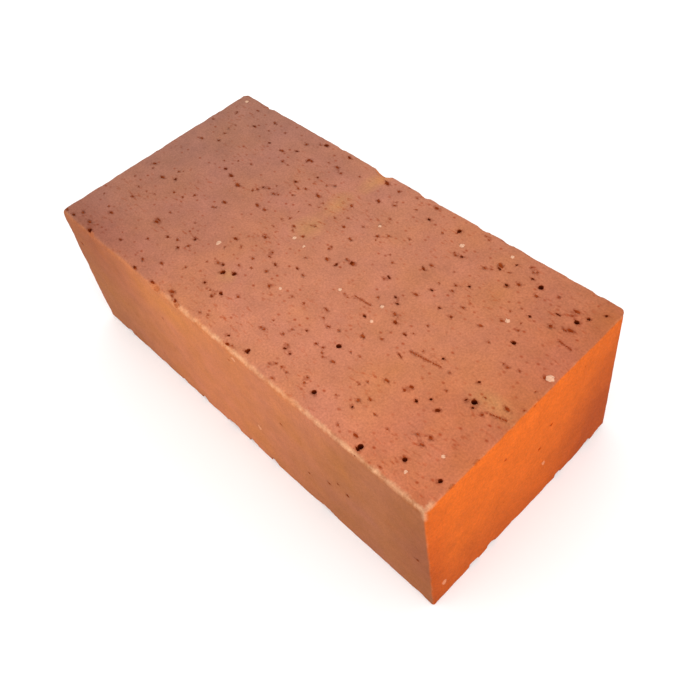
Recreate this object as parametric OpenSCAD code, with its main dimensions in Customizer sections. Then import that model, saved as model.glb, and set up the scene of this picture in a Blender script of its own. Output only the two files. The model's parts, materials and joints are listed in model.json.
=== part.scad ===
// Magnesia brick of the standard straight shape, as fired: one solid block with no frog and no holes.
// The lower bed face rests on Z = 0, the length runs along X and the width along Y.
// The origin is the middle of the lower bed face. Front is -Y, back is +Y, and the right end is +X.

/* [Brick] */
// Length of the stretcher faces, along X
brick_length = 230; // [180:1:300]
// Width of the header ends, along Y
brick_width = 114; // [90:1:150]
// Height from bed face to bed face, along Z
brick_height = 76; // [50:1:100]

/* [Arrises] */
// Radius of the arrises that frame the bed faces
bed_arris = 0.9; // [0.4:0.1:2]
// Radius of the top arris of the front stretcher, which handling wore rounder than the rest
worn_arris = 2.2; // [0.4:0.1:4]
// Radius of the upright arrises
upright_arris = 0.7; // [0.4:0.1:2]
// Radius of the blunt upright arris at the right end, back
blunt_upright = 4.5; // [0.4:0.1:8]

/* [Knocked corners] */
// Set-back of the blunt top corner at the left end, back
left_top_knock = 3.5; // [2:0.5:10]
// Set-back of the broken bottom corner at the right end, back
right_bottom_knock = 7; // [2:0.5:10]

/* [Spalls] */
// Each scar is its place along the arris from -1 to 1, its length and its depth.
// Scars on the top arris of the back stretcher
back_top_spalls = [
    [-0.82, 6, 0.8],
    [-0.37, 7, 0.8],
    [-0.125, 12, 2.4],
    [0.095, 8, 1.3],
    [0.17, 5, 0.7],
    [0.385, 8, 1.0],
    [0.50, 7, 0.8],
    [0.765, 5, 0.6],
    [0.88, 6, 0.8]
];
// Scars on the top arris of the front stretcher
front_top_spalls = [
    [-0.78, 6, 1.0],
    [-0.34, 9, 1.4],
    [-0.21, 6, 0.8],
    [0.11, 7, 1.0],
    [0.29, 7, 0.9],
    [0.65, 6, 0.7],
    [0.885, 6, 0.8]
];
// Scars on the bottom arris of the front stretcher
front_bottom_spalls = [
    [-0.84, 7, 1.0],
    [-0.43, 5, 0.7],
    [-0.285, 5, 0.7],
    [-0.10, 8, 1.5],
    [0.05, 8, 1.0],
    [0.17, 6, 0.8],
    [0.45, 9, 1.5],
    [0.74, 6, 0.8]
];
// Scars on the top arris of the right end
end_top_spalls = [
    [-0.78, 6, 0.7],
    [-0.55, 4, 0.5],
    [-0.44, 5, 0.6]
];
// Scars on the bottom arris of the right end
end_bottom_spalls = [
    [-0.58, 8, 1.1],
    [-0.40, 8, 1.4],
    [0.37, 6, 0.8],
    [0.69, 9, 1.5],
    [0.86, 8, 2.6]
];

/* [Pores] */
// Each large open pore of the top bed is its place along, its place across, and its mouth's width
bed_pores = [
    [0.375, -0.475, 1.9],
    [0.45, -0.84, 1.8],
    [0.705, -0.925, 2.1],
    [0.835, -0.81, 1.7],
    [0.96, -0.775, 1.5],
    [0.155, -0.905, 1.6],
    [-0.20, -0.555, 1.7],
    [-0.16, -0.52, 1.5],
    [-0.125, -0.70, 1.4],
    [-0.435, 0.935, 1.5],
    [0.325, 0.865, 1.7],
    [0.72, 0.795, 1.9],
    [0.855, -0.225, 2.1],
    [0.90, 0.70, 1.8],
    [0.80, 0.30, 1.6]
];
// Depth of a pore's middle under the face, for each millimetre of mouth
pore_sink = 0.25; // [0.1:0.05:0.4]

/* [Hidden] */
$fn = 48;
half_length = brick_length / 2;
half_width = brick_width / 2;

// How far a rounded arris already lies back from the sharp one, on the diagonal
function arris_crown(radius) = (sqrt(2) - 1) * radius;

// Radius of the ball that leaves a scar of this length and depth on a straight arris
function scar_radius(length, depth) = (length * length / 4 + depth * depth) / (2 * depth);

// Rectangle in the middle of its own plane.
// Each corner has its own radius, in anticlockwise order from the upper right.
module rounded_section(width, height, radii) {
    middles = [
        for (corner = [0:3]) [
            sign(cos(45 + 90 * corner)) * (width / 2 - radii[corner]),
            sign(sin(45 + 90 * corner)) * (height / 2 - radii[corner])
        ]
    ];
    polygon([
        for (corner = [0:3], turn = [0, 90])
            middles[corner] + radii[corner] * [cos(90 * corner + turn), sin(90 * corner + turn)]
    ]);
    for (corner = [0:3])
        translate(middles[corner])
            circle(radii[corner]);
}

// Block as it leaves the press mould: plan, front view and end view crossed with each other
module pressed_block() {
    translate([0, 0, brick_height / 2])
        intersection() {
            linear_extrude(2 * brick_height, center = true)
                rounded_section(
                    brick_length,
                    brick_width,
                    [blunt_upright, upright_arris, upright_arris, upright_arris]
                );
            rotate([90, 0, 0])
                linear_extrude(2 * brick_width, center = true)
                    rounded_section(
                        brick_length,
                        brick_height,
                        [bed_arris, bed_arris, bed_arris, bed_arris]
                    );
            rotate([90, 0, 90])
                linear_extrude(2 * brick_length, center = true)
                    rounded_section(
                        brick_width,
                        brick_height,
                        [bed_arris, worn_arris, bed_arris, bed_arris]
                    );
        }
}

// Shell-shaped scar: a ball that bites a round arris at a point, with its middle out along the diagonal
module spall(point, outward, arris, length, depth) {
    radius = scar_radius(length, depth);
    translate(point + outward / norm(outward) * (radius - depth - arris_crown(arris)))
        sphere(radius);
}

// Scars along an arris that runs in X, on the front (-1) or back (1), at the bottom (-1) or top (1)
module stretcher_spalls(scars, side_y, side_z, arris) {
    for (scar = scars)
        spall(
            [scar[0] * half_length, side_y * half_width, side_z > 0 ? brick_height : 0],
            [0, side_y, side_z],
            arris,
            scar[1],
            scar[2]
        );
}

// Scars along an arris that runs in Y, on the right end, at the bottom (-1) or top (1)
module end_spalls(scars, side_z) {
    for (scar = scars)
        spall(
            [half_length, scar[0] * half_width, side_z > 0 ? brick_height : 0],
            [1, 0, side_z],
            bed_arris,
            scar[1],
            scar[2]
        );
}

// Flat break across a corner, square to its diagonal, that meets each edge at the set-back
module corner_knock(side_x, side_y, side_z, setback) {
    reach = 4 * setback;
    translate([side_x * half_length, side_y * half_width, side_z > 0 ? brick_height : 0])
        rotate([0, acos(side_z / sqrt(3)), atan2(side_y, side_x)])
            translate([0, 0, reach / 2 - setback / sqrt(3)])
                cube(reach, center = true);
}

// Gas pore that broke through the top bed: a ball a little under the face, wider inside than at its mouth
module pore(place) {
    mouth = place[2];
    sink = pore_sink * mouth;
    translate([place[0] * half_length, place[1] * half_width, brick_height - sink])
        sphere(sqrt(mouth * mouth / 4 + sink * sink));
}

module brick() {
    color("#C47A5A")
        difference() {
            pressed_block();
            corner_knock(-1, 1, 1, left_top_knock);
            corner_knock(1, 1, -1, right_bottom_knock);
            stretcher_spalls(back_top_spalls, 1, 1, bed_arris);
            stretcher_spalls(front_top_spalls, -1, 1, worn_arris);
            stretcher_spalls(front_bottom_spalls, -1, -1, bed_arris);
            end_spalls(end_top_spalls, 1);
            end_spalls(end_bottom_spalls, -1);
            for (place = bed_pores)
                pore(place);
        }
}

brick();
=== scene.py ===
# %% [markdown]
# A magnesia brick, pressed, fired and lying on its lower bed face.
# The imported CAD solid sets the block's size and its large forms. The script gives it its looks: a skin that
# is a little uneven, open pores, nicks along the edges, pale grit, and the colours of the fired body.
# All of this could be bump on the plain block. But pores and nicks show in the outline and in the
# mesh, so they are cut for real here, and bump is kept for the grain that is too fine to cut.

# %% Load the frame
import json
import math

import bmesh
import bpy
from mathutils import Euler, Matrix, Vector
from mathutils.bvhtree import BVHTree

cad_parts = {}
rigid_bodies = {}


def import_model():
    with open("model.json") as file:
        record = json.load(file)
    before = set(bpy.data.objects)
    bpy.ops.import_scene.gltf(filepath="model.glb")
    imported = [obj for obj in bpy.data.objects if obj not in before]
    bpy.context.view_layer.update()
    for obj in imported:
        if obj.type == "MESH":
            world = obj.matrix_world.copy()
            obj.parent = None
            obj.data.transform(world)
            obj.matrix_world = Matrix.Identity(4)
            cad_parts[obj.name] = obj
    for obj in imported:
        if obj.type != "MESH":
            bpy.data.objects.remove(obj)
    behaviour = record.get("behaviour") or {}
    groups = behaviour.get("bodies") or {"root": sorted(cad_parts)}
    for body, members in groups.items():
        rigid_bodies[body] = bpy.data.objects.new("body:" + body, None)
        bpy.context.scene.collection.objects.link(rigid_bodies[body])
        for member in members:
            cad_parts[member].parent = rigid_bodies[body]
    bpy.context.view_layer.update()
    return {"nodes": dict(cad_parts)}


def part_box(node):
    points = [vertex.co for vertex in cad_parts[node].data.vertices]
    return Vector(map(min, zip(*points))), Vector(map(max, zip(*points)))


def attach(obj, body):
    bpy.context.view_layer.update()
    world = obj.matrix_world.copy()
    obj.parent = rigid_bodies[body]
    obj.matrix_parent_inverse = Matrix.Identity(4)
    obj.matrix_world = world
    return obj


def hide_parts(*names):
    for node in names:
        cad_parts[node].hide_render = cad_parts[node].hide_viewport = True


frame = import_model()

# %% [markdown]
# Sizes come from the solid, so that a change in the CAD step reaches the looks.
# Blender works in metres. A brick is easier to think about in millimetres, so every size of it below is in
# millimetres and is multiplied by MM where it goes into a mesh.

# %% Sizes of the brick
MM = 0.001
low, high = (Vector(corner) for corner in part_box("brick"))
LENGTH, WIDTH, HEIGHT = (high - low) / MM
HALF = Vector((LENGTH, WIDTH, HEIGHT)) / 2
MIDDLE = Vector((0, 0, HALF.z))
print("brick in millimetres:", round(LENGTH, 2), round(WIDTH, 2), round(HEIGHT, 2))

# %% [markdown]
# The camera stands close to the right end, looks down by a little more than half a right angle and is
# rolled a little, which makes the near corner hang low in the picture.
# A camera could be aimed with a Track To constraint, but that leaves no room for the roll, so its turn is
# built from three angles. The shift lowers the frame without turning the camera, so that the brick sits
# higher in the picture.

# %% Camera
CAMERA_PLACE = Vector((213.0, -145.6, 331.2))
CAMERA_AZIMUTH = math.radians(53.1)
CAMERA_ELEVATION = math.radians(48.1)
CAMERA_ROLL = math.radians(-9.7)
CAMERA_LENS = 44.2
CAMERA_SHIFT_Y = -0.071
CAMERA_NEAREST = 10.0

camera_data = bpy.data.cameras.new("photo_camera")
camera_data.lens = CAMERA_LENS
camera_data.shift_y = CAMERA_SHIFT_Y
camera_data.clip_start = CAMERA_NEAREST * MM
camera = bpy.data.objects.new("photo_camera", camera_data)
aim = Euler((math.pi / 2 - CAMERA_ELEVATION, 0, CAMERA_AZIMUTH)).to_matrix()
turn = aim @ Matrix.Rotation(CAMERA_ROLL, 3, "Z")
camera.matrix_world = Matrix.Translation(CAMERA_PLACE * MM) @ turn.to_4x4()
bpy.context.scene.collection.objects.link(camera)
bpy.context.scene.camera = camera
print("camera at", [round(value, 3) for value in camera.location])

# %% [markdown]
# Colours are written as the hex codes that a picture editor shows. Shaders calculate with linear light,
# so one function changes the code. A second function adds a node to any tree, sets it and links it, which
# keeps the trees below short enough to read.

# %% Colour and node helpers
def colour(code):
    """An sRGB hex code such as C47A5A as linear red, green, blue and alpha."""
    channels = [int(code[i:i + 2], 16) / 255 for i in (0, 2, 4)]
    linear = [c / 12.92 if c <= 0.04045 else ((c + 0.055) / 1.055) ** 2.4 for c in channels]
    return (*linear, 1.0)


def add_node(tree, kind, inputs=(), stops=(), **settings):
    """Adds a node. Inputs maps a socket's name or number to a value, or to an output to link.
    Stops are the places and hex codes of a colour ramp, and settings are the node's own properties."""
    node = tree.nodes.new(kind)
    for name, value in settings.items():
        setattr(node, name, value)
    for index, (position, code) in enumerate(stops):
        if index >= len(node.color_ramp.elements):
            node.color_ramp.elements.new(position)
        node.color_ramp.elements[index].position = position
        node.color_ramp.elements[index].color = colour(code)
    for socket, value in dict(inputs).items():
        if isinstance(value, bpy.types.NodeSocket):
            tree.links.new(value, node.inputs[socket])
        else:
            node.inputs[socket].default_value = value
    return node


# The Mix node has one set of sockets for each kind of data. These are the ones for colours.
MIX_A, MIX_B, MIX_RESULT = 6, 7, 2
print("orange of the end as linear light:", [round(c, 3) for c in colour("E8702F")])

# %% [markdown]
# Most of what the eye reads on this brick depends on where a point lies: which face it is on, how near it
# is to an arris (the edge between two faces), how deep it sits in a pore.
# The faces could be split into material slots, but then every border would be a hard line. Here the trees
# measure the distance from a point to the three pairs of faces instead. The middle one of the three is,
# on a face, the distance to the nearest arris.

# %% Distances that shaders and geometry share
def face_gaps(tree, place):
    """Millimetres from a place to the nearest end, stretcher and bed plane, as three outputs."""
    centred = add_node(
        tree, "ShaderNodeVectorMath", {0: place, 1: MIDDLE}, operation="SUBTRACT"
    ).outputs[0]
    folded = add_node(tree, "ShaderNodeVectorMath", {0: centred}, operation="ABSOLUTE").outputs[0]
    gaps = add_node(tree, "ShaderNodeVectorMath", {0: HALF, 1: folded}, operation="SUBTRACT").outputs[0]
    return add_node(tree, "ShaderNodeSeparateXYZ", {0: gaps}).outputs


def arris_gap(tree, gaps):
    """The middle one of the three gaps: how far the nearest arris is from a place on a face."""
    end, stretcher, bed = gaps
    smaller = add_node(tree, "ShaderNodeMath", {0: end, 1: stretcher}, operation="MINIMUM").outputs[0]
    larger = add_node(tree, "ShaderNodeMath", {0: end, 1: stretcher}, operation="MAXIMUM").outputs[0]
    capped = add_node(tree, "ShaderNodeMath", {0: larger, 1: bed}, operation="MINIMUM").outputs[0]
    return add_node(tree, "ShaderNodeMath", {0: smaller, 1: capped}, operation="MAXIMUM").outputs[0]


def place_in_mm(tree):
    """A shader's place on the piece, in millimetres from the middle of the lower bed."""
    metres = add_node(tree, "ShaderNodeTexCoord").outputs["Object"]
    return add_node(
        tree, "ShaderNodeVectorMath", {0: metres, "Scale": 1 / MM}, operation="SCALE"
    ).outputs[0]


print("distances are folded at", [round(value, 1) for value in HALF], "mm from the middle")

# %% Wear of the upper front arris
# Wear reaches the first distance from the arris on both of its faces, and is full within the second one.
WEAR_REACH = 7
WEAR_FULL = 4
# It sets in between these two places along X, with these strengths.
WEAR_PLACES = (-45.0, 0.0)
WEAR_STRENGTHS = (0.1, 0.95)
# A noise thins it in patches of this width, between these two readings, down to the least share.
WEAR_PATCH = 7
WEAR_READINGS = (0.35, 0.55)
WEAR_LEAST = 0.45


def wear(tree, place):
    """How worn the upper front arris is: 0 away from it, uneven along it and growing to the right."""
    x, y, z = add_node(tree, "ShaderNodeSeparateXYZ", {0: place}).outputs
    front = add_node(
        tree,
        "ShaderNodeMapRange",
        {"Value": y, "From Min": WEAR_REACH - HALF.y, "From Max": WEAR_FULL - HALF.y},
    ).outputs[0]
    upper = add_node(
        tree,
        "ShaderNodeMapRange",
        {"Value": z, "From Min": HEIGHT - WEAR_REACH, "From Max": HEIGHT - WEAR_FULL},
    ).outputs[0]
    rightwards = add_node(
        tree,
        "ShaderNodeMapRange",
        {
            "Value": x,
            "From Min": WEAR_PLACES[0],
            "From Max": WEAR_PLACES[1],
            "To Min": WEAR_STRENGTHS[0],
            "To Max": WEAR_STRENGTHS[1],
        },
        interpolation_type="SMOOTHSTEP",
    ).outputs[0]
    patches = add_node(
        tree, "ShaderNodeTexNoise", {"Vector": place, "Scale": 1 / WEAR_PATCH, "Detail": 2.0}
    ).outputs["Fac"]
    uneven = add_node(
        tree,
        "ShaderNodeMapRange",
        {
            "Value": patches,
            "From Min": WEAR_READINGS[0],
            "From Max": WEAR_READINGS[1],
            "To Min": WEAR_LEAST,
        },
    ).outputs[0]
    corner = add_node(tree, "ShaderNodeMath", {0: front, 1: upper}, operation="MULTIPLY").outputs[0]
    grown = add_node(tree, "ShaderNodeMath", {0: corner, 1: rightwards}, operation="MULTIPLY").outputs[0]
    return add_node(tree, "ShaderNodeMath", {0: grown, 1: uneven}, operation="MULTIPLY").outputs[0]


print("wear reaches", WEAR_REACH, "mm from the arris")

# %% [markdown]
# The three kinds of face came out of the kiln with three tones. The bed is a dusty pink that turns greyer
# towards the left end and more orange at the right end, where its last and darker stop is painted shade
# along the arris. The stretcher is a light tan in the middle and browner at both ends, and it gets a little
# darker towards the floor as painted shade. The end is a strong orange that deepens downwards and to the
# back, partly as kiln colour and partly as painted shade. Each tone is a colour ramp that is read along the
# face, and a slow noise shifts the reading, so that no ramp shows as straight bands.

# %% Tone of the bed
# How far the slow noise shifts the reading.
BED_DRIFT = 0.3
# Warmth at the back, warmth in front and lightness at the back, each at the left end and at the right end.
BED_WARMTH_BACK = (0.98, 1.02)
BED_WARMTH_FRONT = (1.07, 1.01)
BED_LIGHT_BACK = (0.95, 0.83)
BED_LIGHT_FRONT = 1.04


def bed_tone(tree, place, drift):
    """Pink of the two bed faces: greyer to the left, more orange to the right with painted shade at the right
    end, lighter to the front.
    """
    x, y, _ = add_node(tree, "ShaderNodeSeparateXYZ", {0: place}).outputs
    reading = add_node(
        tree, "ShaderNodeMapRange", {"Value": x, "From Min": -HALF.x, "From Max": HALF.x}
    ).outputs[0]
    shifted = add_node(
        tree, "ShaderNodeMath", {0: drift, 1: BED_DRIFT, 2: reading}, operation="MULTIPLY_ADD"
    ).outputs[0]
    # The last stop is darker: painted shade along the right end's arris.
    stops = ((0.0, "976856"), (0.3, "AA7058"), (0.52, "B9795C"), (0.85, "BD7755"), (1.0, "B56945"))
    tone = add_node(tree, "ShaderNodeValToRGB", {"Fac": shifted}, stops).outputs["Color"]
    forwards = add_node(
        tree, "ShaderNodeMapRange", {"Value": y, "From Min": HALF.y, "From Max": -HALF.y}
    ).outputs[0]
    least_warm, most_warm, least_light = (
        add_node(tree, "ShaderNodeMapRange", {"Value": reading, 3: left, 4: right}).outputs[0]
        for left, right in (BED_WARMTH_BACK, BED_WARMTH_FRONT, BED_LIGHT_BACK)
    )
    warmth = add_node(
        tree, "ShaderNodeMapRange", {"Value": forwards, 3: least_warm, 4: most_warm}
    ).outputs[0]
    light = add_node(
        tree, "ShaderNodeMapRange", {"Value": forwards, 3: least_light, 4: BED_LIGHT_FRONT}
    ).outputs[0]
    return add_node(
        tree, "ShaderNodeHueSaturation", {"Saturation": warmth, "Value": light, "Color": tone}
    ).outputs[0]


print("bed: lightness", BED_LIGHT_BACK, "at the back and", BED_LIGHT_FRONT, "in front")

# %% Tones of the stretcher and the end
# Where the stretcher is lightest, and how far the reading goes on from its top to the floor, where it is
# darker as painted shade.
LIGHTEST_X = -8.0
STRETCHER_DOWNWARDS = 0.36
STRETCHER_DRIFT = 0.5


def stretcher_tone(tree, place, drift):
    """Tan of the two stretcher faces, browner at both ends and a little darker towards the floor as painted
    shade.
    """
    x, _, z = add_node(tree, "ShaderNodeSeparateXYZ", {0: place}).outputs
    aside = add_node(
        tree, "ShaderNodeMath", {0: x, 1: LIGHTEST_X}, operation="SUBTRACT"
    ).outputs[0]
    distance = add_node(tree, "ShaderNodeMath", {0: aside}, operation="ABSOLUTE").outputs[0]
    outwards = add_node(tree, "ShaderNodeMapRange", {"Value": distance, "From Max": LENGTH / 2}).outputs[0]
    # Darker towards the floor: painted shade.
    downwards = add_node(
        tree,
        "ShaderNodeMapRange",
        {"Value": z, "From Min": HEIGHT, "From Max": 0.0, "To Max": STRETCHER_DOWNWARDS},
    ).outputs[0]
    reading = add_node(tree, "ShaderNodeMath", {0: outwards, 1: downwards}, operation="ADD").outputs[0]
    shifted = add_node(
        tree, "ShaderNodeMath", {0: drift, 1: STRETCHER_DRIFT, 2: reading}, operation="MULTIPLY_ADD"
    ).outputs[0]
    stops = ((0.0, "C17649"), (0.45, "BD7449"), (1.0, "A2643E"))
    return add_node(tree, "ShaderNodeValToRGB", {"Fac": shifted}, stops).outputs["Color"]


# How far the end's reading goes on downwards, and backwards from a place along Y. The deepening is partly
# kiln colour and partly painted shade.
END_DOWNWARDS = 0.75
END_BACKWARDS = 0.55
END_BACK_FROM = 5.0
END_DRIFT = 0.4


def end_tone(tree, place, drift):
    """Orange of the two ends, deeper towards the lower bed and towards the back, partly kiln colour and
    partly painted shade.
    """
    _, y, z = add_node(tree, "ShaderNodeSeparateXYZ", {0: place}).outputs
    # Deeper downwards and to the back: partly kiln colour, partly painted shade.
    downwards = add_node(
        tree,
        "ShaderNodeMapRange",
        {"Value": z, "From Min": HEIGHT, "From Max": 0.0, "To Max": END_DOWNWARDS},
    ).outputs[0]
    backwards = add_node(
        tree,
        "ShaderNodeMapRange",
        {"Value": y, "From Min": END_BACK_FROM, "From Max": HALF.y, "To Max": END_BACKWARDS},
        interpolation_type="SMOOTHSTEP",
    ).outputs[0]
    reading = add_node(tree, "ShaderNodeMath", {0: downwards, 1: backwards}, operation="ADD").outputs[0]
    shifted = add_node(
        tree, "ShaderNodeMath", {0: drift, 1: END_DRIFT, 2: reading}, operation="MULTIPLY_ADD"
    ).outputs[0]
    stops = ((0.0, "D56217"), (0.5, "C75B17"), (1.0, "A24516"))
    return add_node(tree, "ShaderNodeValToRGB", {"Fac": shifted}, stops).outputs["Color"]


print("stretcher: lightest at", LIGHTEST_X, "mm along X")

# %% Tones side by side
HUE_PATCH = 20
HUE_RANGE = (0.489, 0.505)
SATURATION_RANGE = (0.94, 1.06)


def hue_drift(tree, place, tone):
    """Lets a tone wander a little between pink and orange in patches two centimetres wide."""
    patches = add_node(
        tree, "ShaderNodeTexNoise", {"Vector": place, "Scale": 1 / HUE_PATCH, "Detail": 3.0}
    ).outputs["Fac"]
    hue, strength = (
        add_node(
            tree, "ShaderNodeMapRange", {"Value": patches, "To Min": least, "To Max": most}
        ).outputs[0]
        for least, most in (HUE_RANGE, SATURATION_RANGE)
    )
    return add_node(
        tree, "ShaderNodeHueSaturation", {"Hue": hue, "Saturation": strength, "Color": tone}
    ).outputs[0]


TONE_BORDER = (1.3, 0.3)
DRIFT_LENGTH = 45


def face_tones(tree, place, gaps):
    """The tone of whichever face a place lies on, with soft borders at the arrises."""
    slow = add_node(
        tree, "ShaderNodeTexNoise", {"Vector": place, "Scale": 1 / DRIFT_LENGTH, "Detail": 2.0}
    ).outputs["Fac"]
    drift = add_node(tree, "ShaderNodeMath", {0: slow, 1: 0.5}, operation="SUBTRACT").outputs[0]
    tone = hue_drift(tree, place, stretcher_tone(tree, place, drift))
    end = end_tone(tree, place, drift)
    bed = hue_drift(tree, place, bed_tone(tree, place, drift))
    for gap, other in ((gaps[0], end), (gaps[2], bed)):
        share = add_node(
            tree,
            "ShaderNodeMapRange",
            {"Value": gap, "From Min": TONE_BORDER[0], "From Max": TONE_BORDER[1]},
            interpolation_type="SMOOTHSTEP",
        ).outputs[0]
        tone = add_node(
            tree,
            "ShaderNodeMix",
            {0: share, MIX_A: tone, MIX_B: other},
            data_type="RGBA",
        ).outputs[MIX_RESULT]
    return tone


print("tones change over between", TONE_BORDER, "mm from an arris")

# %% [markdown]
# Four kinds of marks lie on top of the tones. Ochre, golden and red stains cross the faces in soft patches.
# The arrises were rubbed pale by handling, most of all the round one between the upper bed and the front
# stretcher, and the same pale also paints the highlight that the arrises catch. Iron in the body bled out as
# small specks, and the press dragged some of them into short smears.
# Around each pore the face is stained as well.
# Each function gives a share from 0 to 1. With it the material mixes a colour in, or multiplies the tone by
# one: iron darkens and reddens whatever lies under it, so its marks suit a grey corner and an orange end.

# %% Stains
# Each stain is its centre and its half size along X, Y and Z.
GOLDEN_STAINS = (
    ((-30, -HALF.y, 65), (36, 15, 14)),
    ((-12, 55, HEIGHT), (5, 7, 15)),
)
OCHRE_STAINS = (
    ((-14.5, 10, HEIGHT), (9, 11, 15)),
    ((-15, 28, HEIGHT), (7, 11, 15)),
    ((-13, 48, HEIGHT), (6, 10, 15)),
    ((103, -9.5, HEIGHT), (13, 6.5, 15)),
    ((-20, -32, HEIGHT), (6, 4, 15)),
)
RED_STAINS = (
    ((-92, -HALF.y, 70), (48, 22, 40)),
    ((HALF.x, -HALF.y, 34), (26, 15, 60)),
)
STAIN_WANDER = 7.0
STAIN_TOOTH = 9


def stain_share(tree, place, stains):
    """Soft stains, with borders that wander."""
    noise = add_node(
        tree, "ShaderNodeTexNoise", {"Vector": place, "Scale": 1 / STAIN_TOOTH, "Detail": 4.0}
    ).outputs["Color"]
    centred = add_node(
        tree, "ShaderNodeVectorMath", {0: noise, 1: (0.5, 0.5, 0.5)}, operation="SUBTRACT"
    ).outputs[0]
    wandered = add_node(
        tree,
        "ShaderNodeVectorMath",
        {0: centred, 1: (STAIN_WANDER,) * 3, 2: place},
        operation="MULTIPLY_ADD",
    ).outputs[0]
    total = None
    for centre, half_size in stains:
        local = add_node(
            tree,
            "ShaderNodeMapping",
            {"Vector": wandered, "Location": centre, "Scale": half_size},
            vector_type="TEXTURE",
        ).outputs[0]
        stain = add_node(tree, "ShaderNodeTexGradient", {0: local}, gradient_type="SPHERICAL").outputs["Fac"]
        if total is None:
            total = stain
        else:
            total = add_node(tree, "ShaderNodeMath", {0: total, 1: stain}, operation="MAXIMUM").outputs[0]
    return total


print("stains placed by hand:", len(GOLDEN_STAINS + OCHRE_STAINS + RED_STAINS))

# %% Rubbed arrises with painted highlights
# A ragged noise is added to the distance from the arris. Each band then starts at its first distance, is full
# at its second one, and has a strength.
WEAR_HIGHLIGHT_TOOTH = 4.5
WEAR_HIGHLIGHT_RAGGED = 4.0
# The thin line and the broad band are partly wear and partly a painted highlight on the arrises.
WEAR_HIGHLIGHT_LINE = (2.9, 2.0, 0.1)
WEAR_HIGHLIGHT_BAND = (4.6, 2.6, 0.9)


def wear_and_highlight_share(tree, place, gaps):
    """Pale arrises, partly wear and partly painted highlight: a thin weak line on all of them, and a broad
    band on the upper front one.
    """
    ragged = add_node(
        tree,
        "ShaderNodeTexNoise",
        {"Vector": place, "Scale": 1 / WEAR_HIGHLIGHT_TOOTH, "Detail": 6.0, "Roughness": 0.72},
    ).outputs["Fac"]
    gap = add_node(
        tree,
        "ShaderNodeMath",
        {0: ragged, 1: WEAR_HIGHLIGHT_RAGGED, 2: arris_gap(tree, gaps)},
        operation="MULTIPLY_ADD",
    ).outputs[0]
    thin, broad = (
        add_node(
            tree,
            "ShaderNodeMapRange",
            {"Value": gap, "From Min": outer, "From Max": inner, "To Max": strength},
            interpolation_type="SMOOTHSTEP",
        ).outputs[0]
        for outer, inner, strength in (WEAR_HIGHLIGHT_LINE, WEAR_HIGHLIGHT_BAND)
    )
    band = add_node(tree, "ShaderNodeMath", {0: broad, 1: wear(tree, place)}, operation="MULTIPLY").outputs[0]
    return add_node(tree, "ShaderNodeMath", {0: band, 1: thin}, operation="MAXIMUM").outputs[0]


# The rubbed band and line are partly painted highlight.
print("rubbed band:", WEAR_HIGHLIGHT_BAND[2], "strong, and", WEAR_HIGHLIGHT_LINE[2], "on the other arrises")

# %% Iron specks and smears
BED_BORDER = (1.2, 0.6)
UPRIGHT_MARKS = 0.2


def bed_share(tree, gaps):
    """1 on the bed faces and a little elsewhere, because marks are rare on the upright faces."""
    return add_node(
        tree,
        "ShaderNodeMapRange",
        {"Value": gaps[2], "From Min": BED_BORDER[0], "From Max": BED_BORDER[1], "To Min": UPRIGHT_MARKS},
    ).outputs[0]


# Each cell holds at most one speck, and those with a small random number stay empty.
SPECK_CELL = Vector((3.4, 2.6, 2.6))
SPECK_EDGE = (0.34, 0.06)
SPECK_CHANCE = 0.42


def speck_share(tree, place):
    """Red-brown specks up to a millimetre and a half wide, a little longer along the press stroke."""
    stretched = add_node(
        tree, "ShaderNodeVectorMath", {0: place, 1: SPECK_CELL}, operation="DIVIDE"
    ).outputs[0]
    cells = add_node(tree, "ShaderNodeTexVoronoi", {"Vector": stretched, "Scale": 1.0})
    dot = add_node(
        tree,
        "ShaderNodeMapRange",
        {"Value": cells.outputs["Distance"], "From Min": SPECK_EDGE[0], "From Max": SPECK_EDGE[1]},
        interpolation_type="SMOOTHSTEP",
    ).outputs[0]
    chance = add_node(tree, "ShaderNodeSeparateColor", {0: cells.outputs["Color"]}).outputs[0]
    depth = add_node(
        tree, "ShaderNodeMapRange", {"Value": chance, "From Min": SPECK_CHANCE, "From Max": 1.0}
    ).outputs[0]
    return add_node(tree, "ShaderNodeMath", {0: dot, 1: depth}, operation="MULTIPLY").outputs[0]


# A smear and a group of smears each show where their noise reads between two values.
SMEAR_SIZE = Vector((4, 1.6, 4))
SMEAR_READINGS = (0.57, 0.74)
GROUP_WIDTH = 18
GROUP_READINGS = (0.45, 0.65)


def smear_share(tree, place):
    """Short soft smears along the length, in loose groups."""
    stretched = add_node(
        tree, "ShaderNodeVectorMath", {0: place, 1: SMEAR_SIZE}, operation="DIVIDE"
    ).outputs[0]
    strokes = add_node(
        tree, "ShaderNodeTexNoise", {"Vector": stretched, "Scale": 1.0, "Detail": 2.0}
    ).outputs["Fac"]
    groups = add_node(
        tree, "ShaderNodeTexNoise", {"Vector": place, "Scale": 1 / GROUP_WIDTH, "Detail": 1.0}
    ).outputs["Fac"]
    marks, busy = (
        add_node(
            tree, "ShaderNodeMapRange", {"Value": noise, "From Min": least, "From Max": most}
        ).outputs[0]
        for noise, (least, most) in ((strokes, SMEAR_READINGS), (groups, GROUP_READINGS))
    )
    return add_node(tree, "ShaderNodeMath", {0: marks, 1: busy}, operation="MULTIPLY").outputs[0]


print("share of cells without a speck:", SPECK_CHANCE)

# %% Stain around the pores
FRINGE_WIDTH = 0.8
FRINGE_RAGGED = 2.6
FRINGE_TOOTH = 1.3
# The press dragged the stains along the length, so there a millimetre counts for less.
FRINGE_DRAG = 0.5


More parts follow.
